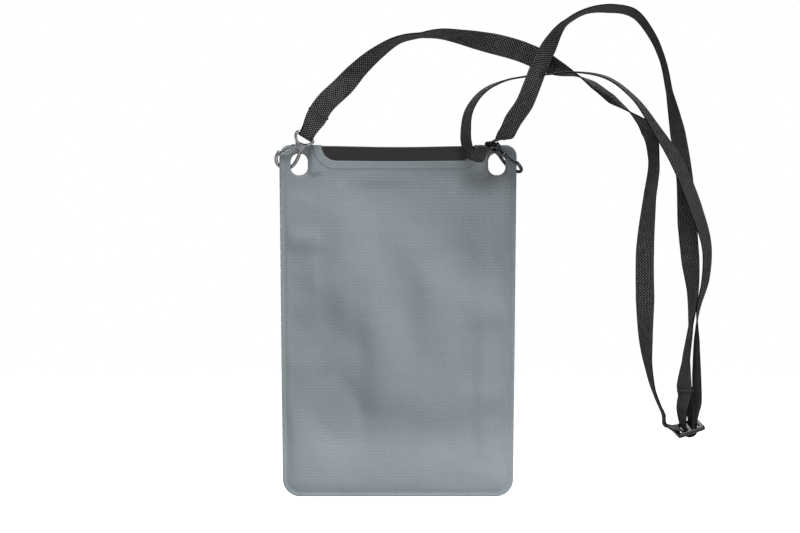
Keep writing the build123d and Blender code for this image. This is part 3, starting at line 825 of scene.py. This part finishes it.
def bevelled_copy(node, name, width, segments=3):
    """The CAD piece with its sharp edges rounded over."""
    mesh = frame["nodes"][node].data.copy()
    work = bpy.data.objects.new(name + "_work", mesh)
    bpy.context.scene.collection.objects.link(work)
    bm = bmesh.new()
    bm.from_mesh(mesh)
    bmesh.ops.remove_doubles(bm, verts=bm.verts, dist=1e-6)
    bm.to_mesh(mesh)
    bm.free()
    bevel = work.modifiers.new("bevel", "BEVEL")
    bevel.width = width
    bevel.segments = segments
    bevel.limit_method = "ANGLE"
    bevel.angle_limit = math.radians(40)
    out = evaluated_copy(work, name)
    bpy.data.objects.remove(work)
    out.data.materials.clear()
    out.data.polygons.foreach_set("use_smooth", [True] * len(out.data.polygons))
    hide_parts(node)
    return out


MAGNET_BEVEL = 0.12 * MM
front_magnets = bevelled_copy("front_seal_magnets", "front_magnet_bars", MAGNET_BEVEL)
dress(front_magnets, MAGNET_METAL)
magnet_spots = vertex_array(front_magnets) / MM
bend_mouth(front_magnets, magnet_spots[:, 0], magnet_spots[:, 2])
dress(bevelled_copy("back_seal_magnets", "back_magnet_bars", MAGNET_BEVEL), MAGNET_METAL, "pouch")


# ------------------------------------------------------------------- strap
def strap_sections(obj):
    """Four corners of every section of the webbing, from one cut end to the other.

    Every patch of the CAD webbing is its own island of vertices: a broad patch above and one
    below between two sections, and edge patches that may run on over many sections.
    """
    count = len(obj.data.vertices)
    spot = vertex_array(obj)
    bm = bmesh.new()
    bm.from_mesh(obj.data)
    bm.verts.ensure_lookup_table()
    same = bmesh.ops.find_doubles(bm, verts=bm.verts, dist=5e-6)["targetmap"]
    point = np.arange(count)
    for vert, target in same.items():
        point[vert.index] = target.index
    bm.free()
    root = list(range(count))

    def find(i):
        while root[i] != i:
            root[i] = root[root[i]]
            i = root[i]
        return i

    for edge in obj.data.edges:
        p, q = find(edge.vertices[0]), find(edge.vertices[1])
        if p != q:
            root[p] = q
    patches_at = {}
    for i in range(count):
        patches_at.setdefault(int(point[i]), set()).add(find(i))
    corners_of = {}
    for p, patches in patches_at.items():
        if len(patches) >= 3:
            for patch in patches:
                corners_of.setdefault(patch, []).append(p)
    facing = {}
    for polygon in obj.data.polygons:
        patch = find(polygon.vertices[0])
        facing[patch] = facing.get(patch, Vector()) + polygon.normal * polygon.area
    broad = {}
    for patch, found in corners_of.items():
        reach = max(np.linalg.norm(spot[p] - spot[q]) for p in found for q in found)
        if len(found) == 4 and reach > 9 * MM:
            broad[patch] = found
    beside = {patch: [] for patch in broad}
    for patch, found in broad.items():
        for p in found:
            beside[patch] += [other for other in patches_at[p] if other in broad and other != patch]
    ends = []
    for patch, others in beside.items():
        turns = [facing[patch].normalized().dot(facing[other].normalized()) for other in others]
        if turns and max(abs(t) for t in turns) < 0.25:
            ends.append(patch)
    end = min(ends, key=lambda patch: spot[broad[patch]].mean(0)[0])

    def paired(p, q, first, second):
        """p and q in the order that keeps the direction from first to second."""
        same_way = np.dot(spot[q] - spot[p], spot[second] - spot[first]) > 0
        return (p, q) if same_way else (q, p)

    visited = {end}
    upper, lower = sorted(set(beside[end]))[:2]
    c0, c1 = [p for p in broad[end] if p in broad[upper]]
    c3, c2 = paired(*[p for p in broad[end] if p in broad[lower]], c0, c1)
    sections = [(c0, c1, c2, c3)]
    while True:
        ahead = set(broad) - visited
        upper = list(patches_at[c0] & patches_at[c1] & ahead)
        lower = list(patches_at[c3] & patches_at[c2] & ahead)
        if not upper or not lower or upper == lower:
            break
        visited |= {upper[0], lower[0]}
        n0, n1 = paired(*[p for p in broad[upper[0]] if p not in (c0, c1)], c0, c1)
        n3, n2 = paired(*[p for p in broad[lower[0]] if p not in (c3, c2)], c3, c2)
        c0, c1, c2, c3 = n0, n1, n2, n3
        sections.append((c0, c1, c2, c3))
    return np.array([[spot[c] for c in section] for section in sections])


corners = strap_sections(frame["nodes"]["strap_webbing"])


class Path:
    """The webbing's centre line with its across and outward directions, by length along it."""

    def __init__(self, quads):
        self.place = quads.mean(1)
        side = (quads[:, 1] + quads[:, 2] - quads[:, 0] - quads[:, 3]) / 2
        out = (quads[:, 0] + quads[:, 1] - quads[:, 2] - quads[:, 3]) / 2
        self.width = np.linalg.norm(side, axis=1)
        self.thick = float(np.linalg.norm(out, axis=1).mean())
        self.side = side / self.width[:, None]
        self.out = out / np.linalg.norm(out, axis=1)[:, None]
        gaps = np.linalg.norm(np.diff(self.place, axis=0), axis=1)
        self.at = np.concatenate([[0.0], np.cumsum(gaps)])
        self.length = self.at[-1]

    def smooth(self, values, s):
        """Cubic through the sections' values at lengths s."""
        at = self.at
        slope = np.gradient(values, at, axis=0)
        i = np.clip(np.searchsorted(at, s) - 1, 0, len(at) - 2)
        gap = at[i + 1] - at[i]
        t = (s - at[i]) / gap
        if values.ndim > 1:
            gap, t = gap[:, None], t[:, None]
        return (
            values[i] * (2 * t**3 - 3 * t**2 + 1)
            + slope[i] * gap * (t**3 - 2 * t**2 + t)
            + values[i + 1] * (3 * t**2 - 2 * t**3)
            + slope[i + 1] * gap * (t**3 - t**2)
        )

    def frames(self, s):
        place = self.smooth(self.place, s)
        side = self.smooth(self.side, s)
        ahead = self.smooth(self.place, np.minimum(s + 0.2 * MM, self.length))
        behind = self.smooth(self.place, np.maximum(s - 0.2 * MM, 0))
        along = ahead - behind
        along /= np.linalg.norm(along, axis=1)[:, None]
        side -= along * (side * along).sum(1)[:, None]
        side /= np.linalg.norm(side, axis=1)[:, None]
        out = self.smooth(self.out, s)
        out -= along * (out * along).sum(1)[:, None]
        out -= side * (out * side).sum(1)[:, None]
        out /= np.linalg.norm(out, axis=1)[:, None]
        return place, along, side, out, self.smooth(self.width, s)

    def nearest(self, spot, low=0.0, high=None):
        s = np.arange(low, high or self.length, 0.5 * MM)
        place = self.smooth(self.place, s)
        return s[np.linalg.norm(place - np.array(spot), axis=1).argmin()]


path = Path(corners)
ROW_STEP = 0.45 * MM
RIB_PITCH = THREAD_PITCH
RIB_HEIGHT = 0.10 * MM


def strap_profile(count):
    """Points round the webbing: (across -1..1, out -1..1, row share) with rounded edges."""
    top = [(u, 1.0) for u in np.linspace(-1, 1, count)]
    bottom = [(u, -1.0) for u in np.linspace(1, -1, count)]
    edge = [(1.0, math.cos(a)) for a in np.linspace(0, math.pi, 6)[1:-1]]
    bulge = [math.sin(a) for a in np.linspace(0, math.pi, 6)[1:-1]]
    points = [(u, v, 0.0) for u, v in top]
    points += [(u, v, b) for (u, v), b in zip(edge, bulge)]
    points += [(u, v, 0.0) for u, v in bottom]
    points += [(-u, -v, b) for (u, v), b in zip(edge, bulge)]
    return np.array(points)


def build_strap(name, start, stop, weights=None, bodies=None):
    """A length of ribbed webbing between two places on the path, in metres along it."""
    step = ROW_STEP
    rows = max(3, round((stop - start) / step) + 1)
    s = np.linspace(start, stop, rows)
    place, along, side, out, width = path.frames(s)
    profile = strap_profile(31)
    ring = len(profile)
    half = path.thick / 2
    u = profile[:, 0][None, :]
    v = profile[:, 1][None, :]
    bulge = profile[:, 2][None, :]
    across = u * (width[:, None] / 2 - half * 0.8)
    lane = np.floor(across / THREAD_ACROSS)
    phase = s[:, None] / RIB_PITCH + 0.5 * (lane % 2)
    inner_lane = np.abs(np.sin(np.pi * across / THREAD_ACROSS))
    rib = RIB_HEIGHT * (np.abs(np.sin(np.pi * phase)) * (0.45 + 0.55 * inner_lane) - 1.0)
    flat = 1 - bulge
    height = v * (half + rib * flat)
    reach = across + np.sign(u) * bulge * half * (0.8 + 0.10 * np.cos(2 * np.pi * s[:, None] / RIB_PITCH))
    spots = place[:, None, :] + side[:, None, :] * reach[:, :, None] + out[:, None, :] * height[:, :, None]
    verts = spots.reshape(-1, 3)
    row = np.arange(rows - 1)[:, None] * ring
    col = np.arange(ring)[None, :]
    nxt = (col + 1) % ring
    faces = np.stack([row + col, row + nxt, row + ring + nxt, row + ring + col], -1).reshape(-1, 4)
    faces = [tuple(f) for f in faces[:, ::-1]]
    faces.append(tuple(range(ring)))
    faces.append(tuple(reversed(range((rows - 1) * ring, rows * ring))))
    obj = new_object(name, verts, faces)
    bm = bmesh.new()
    bm.from_mesh(obj.data)
    bmesh.ops.recalc_face_normals(bm, faces=bm.faces)
    bm.to_mesh(obj.data)
    bm.free()
    vertex_value(obj, "along", np.repeat(s, ring))
    vertex_value(obj, "across", (reach + 50 * THREAD_ACROSS).reshape(-1))
    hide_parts("strap_webbing")
    dress(obj, WEBBING)
    if bodies:
        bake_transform(obj, bodies[0], bodies[1], Vector(place[0]), Vector(place[-1]))
        obj.data.attributes["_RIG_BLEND"].data.foreach_set(
            "value", np.repeat(weights(s), ring).astype(np.float32)
        )
    else:
        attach(obj, "pouch")
    return obj


def fade_between(points):
    """Blend weight by length along the path: straight smoothsteps between (length, weight)."""

    def weight(s):
        out = np.full_like(s, points[0][1])
        for (s0, w0), (s1, w1) in zip(points, points[1:]):
            t = smoothstep((s - s0) / (s1 - s0))
            out = np.where(s >= s0, w0 + (w1 - w0) * t, out)
        return out

    return weight


def box_centre(node):
    low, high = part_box(node)
    return (low + high) / 2


left_yoke = box_centre("hook_end_bartack")
slider_middle = box_centre("strap_slider")
right_middle = box_centre("right_hook_body")
s_left_bartack = path.nearest(left_yoke, 30 * MM, 90 * MM)
s_slider_pass = path.nearest(slider_middle, 500 * MM, 760 * MM)
s_right_pass = path.nearest(right_middle, 900 * MM, 1200 * MM)

LEFT_END = s_left_bartack + 46 * MM
PASS_REACH = 34 * MM
RIGHT_REACH = 46 * MM
LOOP_START = path.length - 100 * MM

build_strap(
    "strap_left_loop",
    0.0,
    LEFT_END,
    fade_between([(0.0, 0.0), (s_left_bartack + 4 * MM, 0.0), (LEFT_END, 1.0)]),
    ("left_hook", "pouch"),
)
build_strap("strap_upper_run", LEFT_END, s_slider_pass - PASS_REACH)
build_strap(
    "strap_through_slider",
    s_slider_pass - PASS_REACH,
    s_slider_pass + PASS_REACH,
    fade_between(
        [
            (s_slider_pass - PASS_REACH, 1.0),
            (s_slider_pass - 12 * MM, 0.0),
            (s_slider_pass + 12 * MM, 0.0),
            (s_slider_pass + PASS_REACH, 1.0),
        ]
    ),
    ("slider", "pouch"),
)
build_strap("strap_middle_run", s_slider_pass + PASS_REACH, s_right_pass - RIGHT_REACH)
build_strap(
    "strap_through_right_hook",
    s_right_pass - RIGHT_REACH,
    s_right_pass + RIGHT_REACH,
    fade_between(
        [
            (s_right_pass - RIGHT_REACH, 1.0),
            (s_right_pass - 5 * MM, 0.0),
            (s_right_pass + 5 * MM, 0.0),
            (s_right_pass + RIGHT_REACH, 1.0),
        ]
    ),
    ("right_hook", "pouch"),
)
build_strap("strap_outer_run", s_right_pass + RIGHT_REACH, LOOP_START)
build_strap(
    "strap_slider_loop",
    LOOP_START,
    path.length,
    fade_between([(LOOP_START, 1.0), (path.length - 68 * MM, 0.0), (path.length, 0.0)]),
    ("slider", "pouch"),
)


# ---------------------------------------------------------------- stitching
def tube(points, radius, sides=6):
    """Vertices and faces of a thin round strand through points."""
    points = np.array(points, float)
    ahead = np.gradient(points, axis=0)
    ahead /= np.linalg.norm(ahead, axis=1)[:, None] + 1e-12
    guide = np.array([0.31, 0.82, 0.47])
    side = np.cross(ahead, guide)
    side /= np.linalg.norm(side, axis=1)[:, None] + 1e-12
    lift = np.cross(ahead, side)
    verts, faces = [], []
    for i, p in enumerate(points):
        for k in range(sides):
            a = 2 * math.pi * k / sides
            verts.append(p + radius * (math.cos(a) * side[i] + math.sin(a) * lift[i]))
    for i in range(len(points) - 1):
        for k in range(sides):
            a, b = i * sides + k, i * sides + (k + 1) % sides
            faces.append((a, b, b + sides, a + sides))
    faces.append(tuple(reversed(range(sides))))
    last = (len(points) - 1) * sides
    faces.append(tuple(range(last, last + sides)))
    return verts, faces


def build_bartack(name, node, body):
    """A dense zigzag of thread across both plies, front and back, with loops at the edges."""
    source = frame["nodes"][node]
    spots = vertex_array(source)
    spots = np.unique(np.round(spots, 7), axis=0)
    middle = spots.mean(0)
    _, _, axes = np.linalg.svd(spots - middle)
    extents = [np.ptp((spots - middle) @ axis) for axis in axes]
    order = np.argsort(extents)[::-1]
    across, out, along = (axes[i] for i in order)
    if out[1] > 0:
        out = -out
    half_across, half_out, half_along = (extents[i] / 2 for i in order)
    centre = middle
    for axis, half in ((across, half_across), (out, half_out), (along, half_along)):
        values = (spots - middle) @ axis
        centre = centre + axis * (values.max() + values.min()) / 2
    radius = 0.17 * MM
    web_half = 7.1 * MM
    face = half_out - 0.42 * MM
    verts, faces = [], []

    def add(points, r=radius):
        more, rings = tube(points, r)
        base = len(verts)
        verts.extend(more)
        faces.extend(tuple(base + i for i in ring) for ring in rings)

    turns = 30
    for sign in (1, -1):
        zigzag = []
        for k in range(turns + 1):
            u = -web_half + 2 * web_half * k / turns
            v = half_along * 0.85 * (1 if k % 2 else -1)
            dip = 0.10 * MM * math.sin(k * 2.3)
            zigzag.append(centre + across * u + along * v + out * sign * (face + dip))
        fine = []
        for p, q in zip(zigzag, zigzag[1:]):
            for t in (0.0, 0.12, 0.5, 0.88):
                sunk = out * sign * (0.16 * MM * (1 - math.sin(math.pi * t)) * -1)
                fine.append(p * (1 - t) + q * t + sunk)
        fine.append(zigzag[-1])
        add(fine)
        for v in (-0.45, 0.0, 0.45):
            line = []
            for k in range(40):
                u = -web_half + 2 * web_half * k / 39
                line.append(centre + across * u + along * v * half_along + out * sign * (face - 0.12 * MM))
            add(line, 0.14 * MM)
    for side in (1, -1):
        for v in (-0.6, -0.1, 0.45):
            loop = []
            for k in range(13):
                a = math.pi * k / 12 - math.pi / 2
                bulge = web_half + (half_across - web_half) * math.cos(a) * (0.9 + 0.1 * math.sin(7 * v))
                spot = centre + across * side * bulge + along * v * half_along
                loop.append(spot + out * face * math.sin(a))
            add(loop, 0.2 * MM)
    obj = new_object(name, verts, faces)
    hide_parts(node)
    return dress(obj, THREAD, body)


build_bartack("hook_end_stitching", "hook_end_bartack", "left_hook")
build_bartack("slider_end_stitching", "slider_end_bartack", "slider")


# ------------------------------------------------------------ hooks and slider
FINE = 0.13 * MM
for side, metal in (("left", LIT_HOOK_METAL), ("right", SHADED_HOOK_METAL)):
    casting = rounded_copy(f"{side}_hook_body", f"{side}_hook_casting", FINE, 6)
    dress(casting, metal, f"{side}_hook")
    gate = rounded_copy(f"{side}_hook_gate", f"{side}_gate_lever", FINE * 0.8, 3)
    dress(gate, metal, f"{side}_gate")
    for piece, material in (("pin", PIN_METAL), ("spring", SPRING_METAL)):
        node = frame["nodes"][f"{side}_hook_{piece}"]
        node.data.materials.clear()
        node.data.materials.append(material)

buckle = rounded_copy("strap_slider", "strap_slider_frame", 0.16 * MM, 4)
dress(buckle, PLASTIC, "slider")


# ------------------------------------------------------------------- studio
def white_to_camera(name):
    """Pale paper that the camera sees as clean white and that bounces light like card."""
    n = Nodes(name)
    n.set(colour=(0.62, 0.62, 0.62), rough=0.9)
    rays = n.tree.nodes.new("ShaderNodeLightPath")
    n.shader.inputs["Emission Color"].default_value = (1, 1, 1, 1)
    n.link(rays.outputs["Is Camera Ray"], n.shader.inputs["Emission Strength"])
    return n.material


floor = new_object("floor", [(-4, -4, 0), (4, -4, 0), (4, 4, 0), (-4, 4, 0)], [(0, 1, 2, 3)])
floor.location.z = cad_bounds[0].z - 0.030
floor.data.materials.append(white_to_camera("floor_white"))


def area_light(name, place, aim, size, power):
    data = bpy.data.lights.new(name, "AREA")
    data.shape = "RECTANGLE"
    data.size, data.size_y = size
    data.energy = power
    obj = bpy.data.objects.new(name, data)
    bpy.context.scene.collection.objects.link(obj)
    obj.location = place
    obj.rotation_euler = (Vector(aim) - Vector(place)).to_track_quat("-Z", "Y").to_euler()
    obj.visible_camera = False
    return obj


area_light("key_above", (0.05, -0.52, 1.10), (0.0, 0, 0.0), (0.6, 0.4), 15.0)
area_light("fill_low_left", (-0.30, -0.75, -0.22), (-0.04, 0, -0.08), (0.3, 0.3), 3.6)
area_light("fill_right", (0.55, -0.45, 0.0), (0.2, 0, -0.02), (0.3, 0.3), 1.5)
area_light("fill_back", (0.3, 1.8, 0.8), (0, 0, 0), (1.4, 1.0), 8.0)

world = bpy.data.worlds.new("studio")
bpy.context.scene.world = world
world.use_nodes = True
tree = world.node_tree
tree.nodes.clear()
out = tree.nodes.new("ShaderNodeOutputWorld")
shown = tree.nodes.new("ShaderNodeBackground")
shown.inputs[0].default_value = (1, 1, 1, 1)
shown.inputs[1].default_value = 1.0
lit = tree.nodes.new("ShaderNodeBackground")
lit.inputs[0].default_value = (0.98, 0.99, 1.0, 1)
lit.inputs[1].default_value = 0.16
rays = tree.nodes.new("ShaderNodeLightPath")
mixer = tree.nodes.new("ShaderNodeMixShader")
tree.links.new(rays.outputs["Is Camera Ray"], mixer.inputs[0])
tree.links.new(lit.outputs[0], mixer.inputs[1])
tree.links.new(shown.outputs[0], mixer.inputs[2])
tree.links.new(mixer.outputs[0], out.inputs[0])

scene = bpy.context.scene
scene.view_settings.view_transform = "Standard"
scene.view_settings.look = "None"
scene.view_settings.exposure = 0.0
scene.view_settings.gamma = 1.0

camera_data = bpy.data.cameras.new("camera")
camera_data.sensor_width = 36.0
camera = bpy.data.objects.new("camera", camera_data)
scene.collection.objects.link(camera)
VIEW_DISTANCE = 2.5
VIEW_WIDTH = 0.568
camera_data.lens = 36.0 * VIEW_DISTANCE / VIEW_WIDTH
camera_data.clip_end = 20.0
camera.location = (0.00142, -VIEW_DISTANCE, 0.0384)
camera.rotation_euler = (math.pi / 2, 0, 0)
scene.camera = camera
